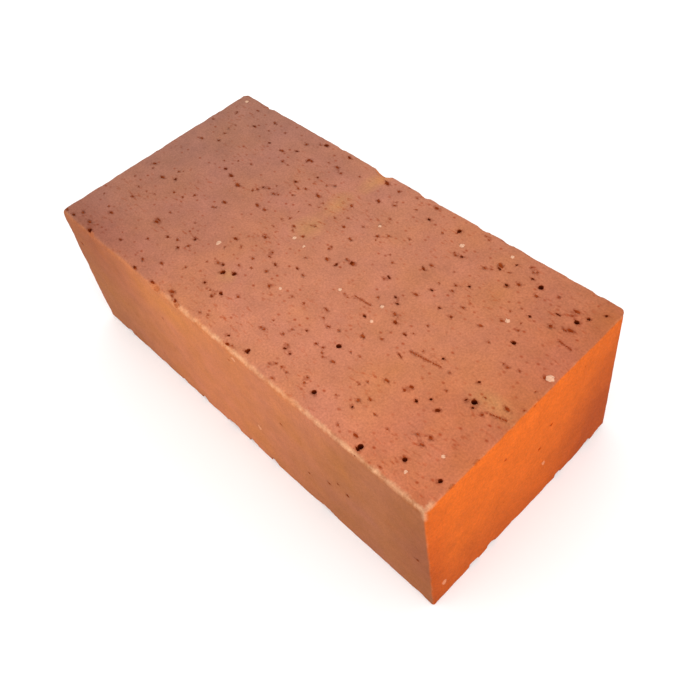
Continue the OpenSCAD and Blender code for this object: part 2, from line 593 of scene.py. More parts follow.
def fringe_share(tree, place):
    """Ragged stain around a pore, from the distance that the mesh carries at each point."""
    gap = add_node(tree, "ShaderNodeAttribute", attribute_name="pore_gap").outputs["Fac"]
    ragged = add_node(
        tree,
        "ShaderNodeTexNoise",
        {"Vector": place, "Scale": 1 / FRINGE_TOOTH, "Detail": 3.0, "Roughness": 0.6},
    ).outputs["Fac"]
    centred = add_node(tree, "ShaderNodeMath", {0: ragged, 1: 0.5}, operation="SUBTRACT").outputs[0]
    shifted = add_node(
        tree, "ShaderNodeMath", {0: centred, 1: FRINGE_RAGGED, 2: gap}, operation="MULTIPLY_ADD"
    ).outputs[0]
    return add_node(
        tree,
        "ShaderNodeMapRange",
        {"Value": shifted, "From Min": FRINGE_WIDTH, "From Max": 0.0},
        interpolation_type="SMOOTHSTEP",
    ).outputs[0]


print("stain around a pore:", FRINGE_WIDTH, "mm wide")

# %% [markdown]
# Fired magnesia is a sintered oxide: coarse grains set in a fine matrix, matt, with no glaze. Up close it
# shows lighter and darker grains. A break shows the same body, rougher and browner; the browner share also
# paints the shade in the chips. A grain of clean magnesia in the face is paler, with some of the face's tone
# as dust on it: a little on the bed, and more on the upright faces. So one function makes the four finishes:
# each is the face with a share of another colour. The shader is rough and its specular level is low, which
# keeps the colours as dry as chalk. The matrix is finer than the picture can show, so its speckle and its
# relief are drawn about a millimetre wide.

# %% Fired body: pressed face, break and grit
# Each is a width in millimetres, the noise's detail and roughness, and the darkest and lightest shade.
MOTTLE = (8, 5.0, 0.6, 0.77, 1.18)
SPECKLE = (0.9, 3.0, 0.65, 0.64, 1.36)
RELIEF_WIDTH = 1.2
BODY_ROUGHNESS = 0.92
BODY_SPECULAR = 0.12


def grain_shade(tree, place):
    """Lightness of the grains around 1: a coarse mottle times a fine speckle."""
    shades = []
    for width, detail, roughness, darkest, lightest in (MOTTLE, SPECKLE):
        pattern = add_node(
            tree,
            "ShaderNodeTexNoise",
            {"Vector": place, "Scale": 1 / width, "Detail": detail, "Roughness": roughness},
        ).outputs["Fac"]
        shades.append(
            add_node(
                tree, "ShaderNodeMapRange", {"Value": pattern, "To Min": darkest, "To Max": lightest}
            ).outputs[0]
        )
    return add_node(tree, "ShaderNodeMath", {0: shades[0], 1: shades[1]}, operation="MULTIPLY").outputs[0]


def fired_magnesia(name, relief_depth, own_share=0.0, own_code="FFFFFF"):
    """The face with a relief of grains, its depth in millimetres, and a share of the finish's own colour."""
    material = bpy.data.materials.new(name)
    material.use_nodes = True
    tree = material.node_tree
    place = place_in_mm(tree)
    gaps = face_gaps(tree, place)
    tone = face_tones(tree, place, gaps)
    on_bed = bed_share(tree, gaps)
    layers = (
        (stain_share(tree, place, OCHRE_STAINS), 0.6, "B88150", "MIX"),
        (stain_share(tree, place, GOLDEN_STAINS), 0.6, "C97C3C", "MIX"),
        (stain_share(tree, place, RED_STAINS), 1.0, "E6D8D4", "MULTIPLY"),
        (smear_share(tree, place), on_bed, "E6BCA0", "MULTIPLY"),
        (speck_share(tree, place), on_bed, "D9A07E", "MULTIPLY"),
        (fringe_share(tree, place), 0.48, "B8794F", "MULTIPLY"),
        # Pale on the arrises: wear, and a painted highlight.
        (wear_and_highlight_share(tree, place, gaps), 1.0, "E3AB82", "MIX"),
    )
    for share, strength, code, blend in layers:
        weight = add_node(tree, "ShaderNodeMath", {0: share, 1: strength}, operation="MULTIPLY").outputs[0]
        tone = add_node(
            tree,
            "ShaderNodeMix",
            {0: weight, MIX_A: tone, MIX_B: colour(code)},
            data_type="RGBA",
            blend_type=blend,
        ).outputs[MIX_RESULT]
    tone = add_node(
        tree, "ShaderNodeMix", {0: own_share, MIX_A: tone, MIX_B: colour(own_code)}, data_type="RGBA"
    ).outputs[MIX_RESULT]
    shaded = add_node(
        tree, "ShaderNodeVectorMath", {0: tone, "Scale": grain_shade(tree, place)}, operation="SCALE"
    ).outputs[0]
    grain = add_node(
        tree,
        "ShaderNodeTexNoise",
        {"Vector": place, "Scale": 1 / RELIEF_WIDTH, "Detail": 4.0, "Roughness": 0.6},
    ).outputs["Fac"]
    relief = add_node(
        tree, "ShaderNodeBump", {"Height": grain, "Strength": 1.0, "Distance": relief_depth * MM}
    ).outputs[0]
    shader = tree.nodes["Principled BSDF"]
    tree.links.new(shaded, shader.inputs["Base Color"])
    tree.links.new(relief, shader.inputs["Normal"])
    shader.inputs["Roughness"].default_value = BODY_ROUGHNESS
    shader.inputs["Specular IOR Level"].default_value = BODY_SPECULAR
    return material


PRESSED_FACE = fired_magnesia("fired_magnesia_pressed_face", 0.2)
# The break's browner share partly paints the shade in the chips.
BROKEN_FACE = fired_magnesia("fired_magnesia_broken_face", 0.3, 0.3, "B4663E")
PALE_GRIT = fired_magnesia("clean_magnesia_grain", 0.1, 0.6, "EABF9F")
DUSTY_GRIT = fired_magnesia("dusty_magnesia_grain", 0.1, 0.35, "F0B088")
print("fired body:", len(PRESSED_FACE.node_tree.nodes), "nodes in each of four finishes")

# %% [markdown]
# A pore is a gas bubble or a burnt-out grain. Its wall is the same body, reddened by iron near the mouth, and
# little light gets in. Real depth darkens it a little, but a shallow pore looks dark too, so the colour also
# falls off with the depth under the face: painted shade, down to nearly black.

# %% Pore walls
# Depths under the face where the painted shade in a pore starts and where it is nearly black.
PORE_PALE_DEPTH = 0.1
PORE_BLACK_DEPTH = 1.6
PORE_UNEVEN = 0.3
PORE_TOOTH = 0.8
PORE_ROUGHNESS = 0.95


def pore_wall():
    """Wall of a pore: the face's tone, redder from the mouth down, and painted shade that deepens to nearly
    black below.
    """
    material = bpy.data.materials.new("pore_wall_with_painted_shade")
    material.use_nodes = True
    tree = material.node_tree
    place = place_in_mm(tree)
    face = face_tones(tree, place, face_gaps(tree, place))
    depth = add_node(tree, "ShaderNodeAttribute", attribute_name="skin_depth").outputs["Fac"]
    uneven = add_node(
        tree, "ShaderNodeTexNoise", {"Vector": place, "Scale": 1 / PORE_TOOTH, "Detail": 3.0}
    ).outputs["Fac"]
    reading = add_node(
        tree, "ShaderNodeMath", {0: uneven, 1: PORE_UNEVEN, 2: depth}, operation="MULTIPLY_ADD"
    ).outputs[0]
    scaled = add_node(
        tree,
        "ShaderNodeMapRange",
        {"Value": reading, "From Min": PORE_PALE_DEPTH, "From Max": PORE_BLACK_DEPTH},
    ).outputs[0]
    # Redder near the mouth, then painted shade that grows with depth.
    stops = ((0.0, "E4B68A"), (0.22, "BC8150"), (0.55, "76401E"), (1.0, "3C150A"))
    iron_stain_and_shade = add_node(tree, "ShaderNodeValToRGB", {"Fac": scaled}, stops).outputs["Color"]
    tone = add_node(
        tree, "ShaderNodeMix", {0: 1.0, MIX_A: face, MIX_B: iron_stain_and_shade}, data_type="RGBA", blend_type="MULTIPLY"
    ).outputs[MIX_RESULT]
    shader = tree.nodes["Principled BSDF"]
    tree.links.new(tone, shader.inputs["Base Color"])
    shader.inputs["Roughness"].default_value = PORE_ROUGHNESS
    shader.inputs["Specular IOR Level"].default_value = 0.0
    return material


PORE_WALL = pore_wall()
print("pore wall:", len(PORE_WALL.node_tree.nodes), "nodes")

# %% [markdown]
# The skin is the pressed block as a closed grid of small squares. It could be a cube with a Bevel and many
# subdivisions, but then the squares would not be even. Here each row has its own place: close together
# at the arrises, and about two millimetres apart on the faces.
# Each point of the sharp block is then pulled onto the rounded one. That is done in the plan, the front view
# and the end view, one after the other, as a mason would dress a block with three templates. In each view the
# square in a corner becomes a quarter of a disc, and points inside it move along, so that no squares fold.

# %% Skin of the pressed block
# The radii are a little larger than the CAD solid's, so that the skin lies inside it.
ARRIS_RADIUS = 1.0
# Two arrises are rounder. Each is named by the two axes that it joins and the side of each.
ROUNDER_ARRISES = {
    ("y", "z", -1, 1): 2.3,
    ("x", "y", 1, 1): 4.7,
}
SKIN_INSET = 0.04
SKIN_STEP = 1.8
ARRIS_ROWS = (0.0, 0.3, 0.65, 1.1, 1.9, 2.8, 3.8, 4.8)


def rows(half):
    """Places of the grid rows along one direction, closer together at the arrises."""
    inner = half - ARRIS_ROWS[-1]
    count = round(2 * inner / SKIN_STEP)
    flat = [-inner + 2 * inner * i / count for i in range(1, count)]
    near = [half - row for row in ARRIS_ROWS]
    return [-place for place in near] + flat + near[::-1]


def rounded(point, half):
    """Moves a point of the sharp block onto the block with round arrises, one view after the other."""
    place = {axis: value for axis, value in zip("xyz", point)}
    limits = {axis: value for axis, value in zip("xyz", half)}
    for u, v in ("xy", "xz", "yz"):
        sides = [1 if place[axis] > 0 else -1 for axis in (u, v)]
        radius = ROUNDER_ARRISES.get((u, v, *sides), ARRIS_RADIUS)
        over = [abs(place[axis]) - limits[axis] + radius for axis in (u, v)]
        if min(over) > 0:
            inwards = max(over) / math.hypot(*over)
            for axis, side, excess in zip((u, v), sides, over):
                place[axis] = side * (limits[axis] - radius + excess * inwards)
    return Vector(place.values())


def pressed_skin():
    """Closed quad grid of the block, with points shared between neighbouring faces."""
    half = HALF - Vector((SKIN_INSET,) * 3)
    grid = [rows(limit) for limit in half]
    places, index, quads = [], {}, []

    def corner(key):
        if key not in index:
            index[key] = len(places)
            sharp = Vector(grid[axis][step] for axis, step in enumerate(key))
            places.append((rounded(sharp, half) + MIDDLE) * MM)
        return index[key]

    for axis in range(3):
        u, v = (axis + 1) % 3, (axis + 2) % 3
        last = len(grid[axis]) - 1
        for side in (0, last):
            for i in range(len(grid[u]) - 1):
                for j in range(len(grid[v]) - 1):
                    loop = []
                    for du, dv in ((0, 0), (1, 0), (1, 1), (0, 1)):
                        key = [0, 0, 0]
                        key[axis], key[u], key[v] = side, i + du, j + dv
                        loop.append(corner(tuple(key)))
                    quads.append(loop if side else loop[::-1])
    mesh = bpy.data.meshes.new("pressed_skin")
    mesh.from_pydata(places, [], quads)
    return mesh


brick_piece = bpy.data.objects.new("fired_brick", pressed_skin())
brick_piece.data.materials.append(PRESSED_FACE)
bpy.context.scene.collection.objects.link(brick_piece)
print("skin:", len(brick_piece.data.polygons), "squares")

# %% [markdown]
# A fired face is never quite flat. It has slow waves from shrinking in the kiln, a fine tooth from the
# grains, and arrises that crumbled here and there. The upper front arris was also worn down, most of all
# towards the right. That is one rule for the whole skin, so a Geometry Nodes tree moves each point
# inwards along its normal, by three noises and the wear, each with its own depth.
# Inwards only, because the CAD solid is the largest the brick may be.

# %% Tree helpers
def new_tree(name, sizes):
    """A geometry tree with a geometry input and output and one named input for each size.
    Returns the tree, its input and output nodes, and each input's identifier by name."""
    tree = bpy.data.node_groups.new(name, "GeometryNodeTree")
    tree.interface.new_socket("Geometry", in_out="INPUT", socket_type="NodeSocketGeometry")
    tree.interface.new_socket("Geometry", in_out="OUTPUT", socket_type="NodeSocketGeometry")
    identifiers = {}
    for size in sizes:
        socket = tree.interface.new_socket(size, in_out="INPUT", socket_type="NodeSocketFloat")
        identifiers[size] = socket.identifier
    given = tree.nodes.new("NodeGroupInput").outputs
    result = tree.nodes.new("NodeGroupOutput").inputs
    return tree, given, result, identifiers


def run_tree(piece, tree, identifiers, sizes):
    """Runs a tree on a piece with the given sizes and keeps the result as the piece's plain mesh."""
    modifier = piece.modifiers.new(tree.name, "NODES")
    modifier.node_group = tree
    for name, value in sizes.items():
        modifier[identifiers[name]] = value
    keep_result(piece)


def keep_result(piece):
    """Turns what a piece's modifiers give into its plain mesh and removes the modifiers."""
    graph = bpy.context.evaluated_depsgraph_get()
    result = bpy.data.meshes.new_from_object(
        piece.evaluated_get(graph), preserve_all_data_layers=True, depsgraph=graph
    )
    piece.modifiers.clear()
    piece.data = result


print("points for the first tree to move:", len(brick_piece.data.vertices))

# %% Uneven skin
SKIN_SIZES = {
    "Wave Length": 38.0,
    "Wave Depth": 0.3,
    "Grain Length": 3.5,
    "Grain Depth": 0.16,
    "Crumble Length": 6.0,
    "Crumble Depth": 0.5,
    "Crumble Reach": 2.6,
    "Wear Depth": 0.7,
    "Wear Reach": 3.6,
}
# Where a noise reads less than its floor it takes nothing off. From the ceiling on it takes its full depth.
NOISE_FLOORS = {"Wave": 0.2, "Grain": 0.2, "Crumble": 0.48}
NOISE_CEILING = 0.8


def uneven_skin_tree():
    """Moves the skin's points inwards by waves, grain, crumble and wear, all in millimetres."""
    tree, given, result, identifiers = new_tree("uneven_skin", SKIN_SIZES)
    metres = add_node(tree, "GeometryNodeInputPosition").outputs[0]
    place = add_node(
        tree, "ShaderNodeVectorMath", {0: metres, "Scale": 1 / MM}, operation="SCALE"
    ).outputs[0]
    gap = arris_gap(tree, face_gaps(tree, place))
    near, nearer = (
        add_node(
            tree,
            "ShaderNodeMapRange",
            {"Value": gap, 1: given[reach], 2: 0.0},
            interpolation_type="SMOOTHSTEP",
        ).outputs[0]
        for reach in ("Crumble Reach", "Wear Reach")
    )
    depths = []
    for kind, least in NOISE_FLOORS.items():
        pitch = add_node(
            tree, "ShaderNodeMath", {0: 1.0, 1: given[kind + " Length"]}, operation="DIVIDE"
        ).outputs[0]
        pattern = add_node(
            tree, "ShaderNodeTexNoise", {"Vector": place, "Scale": pitch, "Detail": 2.0}
        ).outputs[0]
        share = add_node(
            tree, "ShaderNodeMapRange", {"Value": pattern, "From Min": least, "From Max": NOISE_CEILING}
        ).outputs[0]
        depths.append(
            add_node(
                tree, "ShaderNodeMath", {0: share, 1: given[kind + " Depth"]}, operation="MULTIPLY"
            ).outputs[0]
        )
    crumble = add_node(tree, "ShaderNodeMath", {0: depths[2], 1: near}, operation="MULTIPLY").outputs[0]
    face = add_node(tree, "ShaderNodeMath", {0: depths[0], 1: depths[1]}, operation="ADD").outputs[0]
    front = wear(tree, place)
    worn = add_node(tree, "ShaderNodeMath", {0: front, 1: nearer}, operation="MULTIPLY").outputs[0]
    rubbed = add_node(
        tree, "ShaderNodeMath", {0: worn, 1: given["Wear Depth"], 2: crumble}, operation="MULTIPLY_ADD"
    ).outputs[0]
    total = add_node(tree, "ShaderNodeMath", {0: face, 1: rubbed}, operation="ADD").outputs[0]
    inward = add_node(tree, "ShaderNodeMath", {0: total, 1: -MM}, operation="MULTIPLY").outputs[0]
    normal = add_node(tree, "GeometryNodeInputNormal").outputs[0]
    offset = add_node(
        tree, "ShaderNodeVectorMath", {0: normal, "Scale": inward}, operation="SCALE"
    ).outputs[0]
    moved = add_node(tree, "GeometryNodeSetPosition", {"Geometry": given[0], "Offset": offset}).outputs[0]
    real = add_node(tree, "GeometryNodeRealizeInstances", {0: moved}).outputs[0]
    finished = add_node(
        tree, "GeometryNodeSetMaterial", {"Geometry": real, "Material": PRESSED_FACE}
    ).outputs[0]
    tree.links.new(finished, result[0])
    return tree, identifiers


def surface(piece, squeeze=1.0):
    """A piece's faces in the form that answers how far they are from a place, with X squeezed if asked."""
    places = [Vector((vertex.co.x * squeeze, vertex.co.y, vertex.co.z)) for vertex in piece.data.vertices]
    return BVHTree.FromPolygons(places, [face.vertices for face in piece.data.polygons])


run_tree(brick_piece, *uneven_skin_tree(), SKIN_SIZES)
whole_skin = surface(brick_piece)
lowest = min(vertex.co.z for vertex in brick_piece.data.vertices)
print("uneven skin: lowest point", round(lowest / MM, 3), "mm above the floor")

# %% [markdown]
# The broken corners, the shell-shaped scars along the edges and the largest pores are already in the CAD
# solid. Crossing the skin with a copy of that solid carries them over exactly.
# The solid's mesh is loose triangles, so the copy is merged first: a Boolean needs closed meshes.
# The Manifold solver is the fast one, and Transfer keeps the cutter's material on the cut faces.

# %% Cross the skin with the CAD solid
def carve(piece, tool, operation):
    """One Boolean of a piece with a tool. The tool is used up."""
    modifier = piece.modifiers.new(operation, "BOOLEAN")
    modifier.object = tool
    modifier.operation = operation
    modifier.solver = "MANIFOLD"
    modifier.material_mode = "TRANSFER"
    keep_result(piece)
    bpy.data.objects.remove(tool)
    print(operation.lower(), "leaves", len(piece.data.polygons), "faces")


# Points nearer to each other than the first distance are one point. Faces nearer to the plane of the upper
# bed than the second one are part of that bed.
SAME_POINT = 0.0005
SAME_PLANE = 0.005


def pore_islands(shape):
    """The faces under the upper bed that no path over other such faces joins to the lower bed."""
    sunk = {face for face in shape.faces if HEIGHT - face.calc_center_median().z / MM > SAME_PLANE}
    lowest = min(sunk, key=lambda face: face.calc_center_median().z)
    sunk.remove(lowest)
    path = [lowest]
    while path:
        face = path.pop()
        for edge in face.edges:
            for neighbour in edge.link_faces:
                if neighbour in sunk:
                    sunk.remove(neighbour)
                    path.append(neighbour)
    return sunk


def merged_solid(node):
    """A closed copy of a CAD node's mesh, with one material in its pores and one on its breaks."""
    shape = bmesh.new()
    shape.from_mesh(node.data)
    bmesh.ops.remove_doubles(shape, verts=shape.verts, dist=SAME_POINT * MM)
    pores = pore_islands(shape)
    for face in shape.faces:
        face.material_index = 1 if face in pores else 0
    mesh = bpy.data.meshes.new("merged_solid")
    mesh.materials.append(BROKEN_FACE)
    mesh.materials.append(PORE_WALL)
    shape.to_mesh(mesh)
    open_edges = sum(1 for edge in shape.edges if len(edge.link_faces) != 2)
    shape.free()
    print("merged solid:", len(mesh.polygons), "triangles,", open_edges, "open edges")
    copy = bpy.data.objects.new("merged_solid", mesh)
    bpy.context.scene.collection.objects.link(copy)
    return copy


carve(brick_piece, merged_solid(frame["nodes"]["brick"]), "INTERSECT")

# %% [markdown]
# Hundreds of pores open in the beds, and a few in the upright faces. The ones that the eye picks out are
# listed one by one, each by its place and its size. The small ones between them are scattered.
# The tool for cutting is a set of lumps: small spheres with a noise on them, turned and stretched so that
# no two look alike. Overlapping tools confuse a Boolean, so the tree unites them first.

# %% Places of the pores that stand out
# Each pore of the upper bed is its place along X and Y, its length along X and its width along Y.
DEEP_PORES = (
    (-107, -54.5, 2.8, 1.7), (-92, -55.3, 4.6, 3.2), (-89, -8.5, 2, 2), (-51, 14.5, 2, 1.6),
    (-49.5, 53.5, 3, 2.5), (-48.5, -27.5, 2.4, 1.6), (-26.5, -29, 2.2, 1.7), (-23, -32, 3, 2.8),
    (-18.5, -29, 4.5, 2), (-14, -40, 3.4, 1.6), (11, 2, 2, 2.4), (18, -52.5, 3.6, 1.5),
    (22.5, 46.5, 2.6, 1.8), (33, 11, 3.6, 1.3), (37.5, 49, 2, 3.2), (40, -10, 2.6, 1.3),
    (42.5, 5, 2.3, 1.3), (43, -27, 3.4, 2.3), (45.5, 3, 3.2, 1.3), (48, 38.5, 2, 1.6),
    (51, 17, 3, 1.3), (52, -48, 2.6, 2.5), (61, 28, 1.8, 1.7), (64, 43, 3, 1.5),
    (67, -43, 1.5, 1.6), (68, 49, 1.8, 1.7), (71.5, 38, 2.8, 1.7), (77, -5.5, 1.6, 1.7),
    (77.5, 47, 2, 1.4), (81, -54, 4, 2), (82.5, -26, 2.5, 1.7), (82.5, 45.5, 3, 3.3),
    (86, -22, 1.7, 1.6), (88.5, 31, 2.2, 1.4), (92, 17, 4.2, 1.4), (96, -46.5, 2.6, 1.6),
    (98.5, -12.5, 4, 2), (99.5, -15, 1.4, 1.3), (103.5, 40, 4, 1.9), (106, 44, 2, 1.8),
    (110, 49.5, 1.6, 1.9), (110.5, -44.5, 1.6, 2.5),
)
SHALLOW_PORES = (
    (-95.5, 23, 2, 1.5), (-90, 41.5, 3, 1.6), (-75.5, 11.5, 3, 2), (-75, -49.5, 2.5, 1.3),
    (-73.5, 37.5, 2.5, 1.6), (-69.5, 10, 4.5, 2), (-59.5, -34.5, 2.5, 1.5), (-58, 41.5, 2.5, 1.4),
    (-55.7, -55.3, 4, 2), (-50.5, -35.5, 2.7, 1.3), (-48.5, 40.5, 2, 3), (-42, 26.5, 2.5, 2),
    (-42, -55.5, 4, 2), (-36, 35, 2, 1.6), (-34.5, 54, 4, 1.5), (-34.5, -15.5, 3, 1.5),
    (-26, -55.4, 3, 2.4), (-25, -6.5, 2.7, 1.7), (-24.5, -40.5, 2, 1.6), (-16, -43.5, 2, 1.7),
    (-9, -14.5, 3, 1.4), (-8, 52, 5.5, 2), (-2.5, 41, 3.5, 2), (0, -10, 2.3, 1.1),
    (6, -52, 2, 1.4), (8.6, -55.2, 3, 1.8), (15.5, 7, 4, 3), (28, -30, 2, 1.4),
    (28, -41.5, 2.5, 1.5), (31.5, -42, 1.8, 1.3), (40.5, 23.5, 4, 1.3), (51.5, -4.5, 3, 1.8),
    (58.5, -6.5, 2.7, 1.2), (59.5, 12, 2, 1.3), (66, 11.5, 1.8, 1.7), (91, -24, 3, 2.5),
    (94, -5, 2, 1.6), (95.5, -14, 1.3, 2), (96, 38.5, 4, 1.1),
)
# Faint pores are little more than dents.
FAINT_PORES = (
    (-97.5, 28.5, 2, 1.2), (-72, -30.5, 4, 1.2), (-48, 15.5, 2, 1.2), (-47.5, -32, 2, 1.4),
    (-43.5, 14.5, 2.2, 1.2), (-36, 19.5, 2, 1.4), (-34.5, 26, 2.5, 1.4), (-29, -54.5, 2.5, 1.2),
    (-25.5, 8.5, 2, 1.3), (-15.5, -10.5, 2, 1.2), (-14.5, -13, 2.5, 1), (-9, -19.5, 2, 1.4),
    (-7, -36.5, 2, 1.4), (2, 8, 2, 1.2), (4.5, -11, 2.5, 1), (5, 43.5, 2.5, 1.4),
    (31, -48.5, 2, 1.2), (33, -23, 3, 1), (35.5, -32, 2, 1.4), (39, -31.5, 2, 1),
    (45, -45, 2, 1.2), (45.5, 37.5, 2.5, 1.2), (56.5, 25, 2, 1.2), (57.5, 22, 2.5, 1),
    (66.5, 18, 2.5, 1.2), (82, 22.5, 2, 1.2), (96.5, -38, 2.5, 1.2), (102.5, 34, 3, 1),
    (26, -17.5, 4.5, 0.9), (64, -15, 4.5, 0.8),
)
# Hard grains scratched the bed in the press and left rows of torn pores. A scratch is its two ends.
SCRATCHES = (
    ((30, -5), (37.5, -4.5)),
    ((66, -11), (79, -9)),
    ((104.5, 28.5), (109.5, 28)),
    ((106, -13), (111.5, -11.5)),
)
SCRATCH_STEP = 1.1
SCRATCH_WIDTH = 0.8
# On the front stretcher and the right end a pore is its place, then its sizes along X, Y and Z.
UPRIGHT_PORES = (
    ((72, -HALF.y, 35), (1.2, 0.5, 1.3)),
    ((108.5, -HALF.y, 32), (1.2, 0.5, 1.3)),
    ((67, -HALF.y, 38), (1.0, 0.3, 1.0)),
    ((HALF.x, -15, 57.5), (0.16, 1.4, 1.0)),
    ((HALF.x, 12.5, 49), (0.16, 1.6, 1.2)),
    ((HALF.x, 6, 39.5), (0.16, 1.2, 1.4)),
)
print("pores that stand out on the bed:", len(DEEP_PORES + SHALLOW_PORES + FAINT_PORES))

# %% Marked places on the skin
# How deep each kind of pore is. A lump that was pulled about opens wider than its size, so it is trimmed.
DEEP, SHALLOW, FAINT, TORN = 1.0, 0.5, 0.22, 0.14
PORE_TRIM = 0.68


def torn_pores():
    """The small pores in a row that make up each scratch."""
    pores = []
    for start, end in SCRATCHES:
        way = Vector(end) - Vector(start)
        steps = round(way.length / SCRATCH_STEP)
        for step in range(steps + 1):
            x, y = Vector(start) + way * step / steps
            pores.append((x, y, 2 * SCRATCH_WIDTH, SCRATCH_WIDTH))
    return pores


PORE_DEPTHS = (
    (DEEP_PORES, DEEP),
    (SHALLOW_PORES, SHALLOW),
    (FAINT_PORES, FAINT),
    (torn_pores(), TORN),
)


def marked_places(name, places, sizes, sink=0.0):
    """A mesh of points on the skin that each carry a size, for a tree to put a lump on."""
    marks = []
    for place in places:
        spot, normal, _, _ = whole_skin.find_nearest(Vector(place) * MM)
        marks.append(spot - normal * sink * MM)
    mesh = bpy.data.meshes.new(name)
    mesh.from_pydata(marks, [], [])
    carried = mesh.attributes.new("size", "FLOAT_VECTOR", "POINT")
    for item, size in zip(carried.data, sizes):
        item.vector = Vector(size) * MM
    holder = bpy.data.objects.new(name, mesh)
    bpy.context.scene.collection.objects.link(holder)
    return holder


# A lump has its middle on the face, so it is twice as tall as its pore is deep.
pore_places = [place for place, size in UPRIGHT_PORES]
pore_spans = [size for place, size in UPRIGHT_PORES]
for pores, depth in PORE_DEPTHS:
    for x, y, length, width in pores:
        pore_places.append((x, y, HEIGHT))
        pore_spans.append((PORE_TRIM * length, PORE_TRIM * width, 2 * depth))
pore_tool = marked_places("pore_tool", pore_places, pore_spans)
print("marked pores:", len(pore_places), "with", len(torn_pores()), "of them along scratches")

# %% Lumps on points
LUMP_KINDS = 6
LUMP_ROUGHNESS = 0.42
LUMP_PITCH = 2.2
# The lumps are this far apart on the noise's fourth axis, which makes them different.
LUMP_APART = 3.7


def lump_kit(tree, subdivisions):
    """Six different lumps to choose from, each a sphere one unit wide that a noise has pulled about."""
    kit = add_node(tree, "GeometryNodeJoinGeometry")
    for kind in range(LUMP_KINDS):
        ball = add_node(
            tree, "GeometryNodeMeshIcoSphere", {"Radius": 0.5, "Subdivisions": subdivisions}
        ).outputs[0]
        pattern = add_node(
            tree,
            "ShaderNodeTexNoise",
            {"W": LUMP_APART * kind, "Scale": LUMP_PITCH, "Detail": 1.0},
            noise_dimensions="4D",
        ).outputs["Color"]
        centred = add_node(
            tree, "ShaderNodeVectorMath", {0: pattern, 1: (0.5, 0.5, 0.5)}, operation="SUBTRACT"
        ).outputs[0]
        offset = add_node(
            tree, "ShaderNodeVectorMath", {0: centred, "Scale": 2 * LUMP_ROUGHNESS}, operation="SCALE"
        ).outputs[0]
        lump = add_node(tree, "GeometryNodeSetPosition", {"Geometry": ball, "Offset": offset}).outputs[0]
        single = add_node(tree, "GeometryNodeGeometryToInstance", {0: lump}).outputs[0]
        tree.links.new(single, kit.inputs[0])
    return kit.outputs[0]


def put_lumps(tree, points, subdivisions, seed, lean):
    """A lump on each point, as large as the size that the point carries, leaning between two angles."""
    size = add_node(
        tree, "GeometryNodeInputNamedAttribute", {"Name": "size"}, data_type="FLOAT_VECTOR"
    ).outputs[0]
    kind = add_node(
        tree, "FunctionNodeRandomValue", {4: 0, 5: LUMP_KINDS - 1, "Seed": seed}, data_type="INT"
    ).outputs[2]
    angle = add_node(
        tree, "FunctionNodeRandomValue", {2: lean[0], 3: lean[1], "Seed": seed + 1}, data_type="FLOAT"
    ).outputs[1]
    turned = add_node(tree, "ShaderNodeCombineXYZ", {"Z": angle}).outputs[0]
    return add_node(
        tree,
        "GeometryNodeInstanceOnPoints",
        {
            "Points": points,
            "Instance": lump_kit(tree, subdivisions),
            "Pick Instance": True,
            "Instance Index": kind,
            "Rotation": turned,
            "Scale": size,
        },
    ).outputs[0]


def united(tree, lumps, material, result):
    """Unites the lumps, makes them real, gives them their material and ends the tree."""
    union = add_node(
        tree, "GeometryNodeMeshBoolean", {"Mesh 2": lumps}, operation="UNION", solver="MANIFOLD"
    ).outputs[0]
    real = add_node(tree, "GeometryNodeRealizeInstances", {0: union}).outputs[0]
    finished = add_node(
        tree, "GeometryNodeSetMaterial", {"Geometry": real, "Material": material}
    ).outputs[0]
    tree.links.new(finished, result[0])


print("kinds of lumps:", LUMP_KINDS)

# %% Scatter and cut the pores
PORE_SIZES = {
    "Bed Pores per cm2": 0.7,
    "Side Pores per cm2": 0.05,
    "Smallest": 0.5,
    "Largest": 1.4,
    "Stretch": 2.4,
    "Depth per Width": 0.22,
}
PORE_SEED = 11
PORE_LEAN = (math.radians(-24), math.radians(12))
# The higher the power, the rarer large pores are.
RARITY = 2.5
LEAST_STRETCH = 0.9
CM2_PER_M2 = 1e4
# The Z of a normal is near 1 or -1 on a bed and near 0 on an upright face.
BED_NORMAL = 0.5


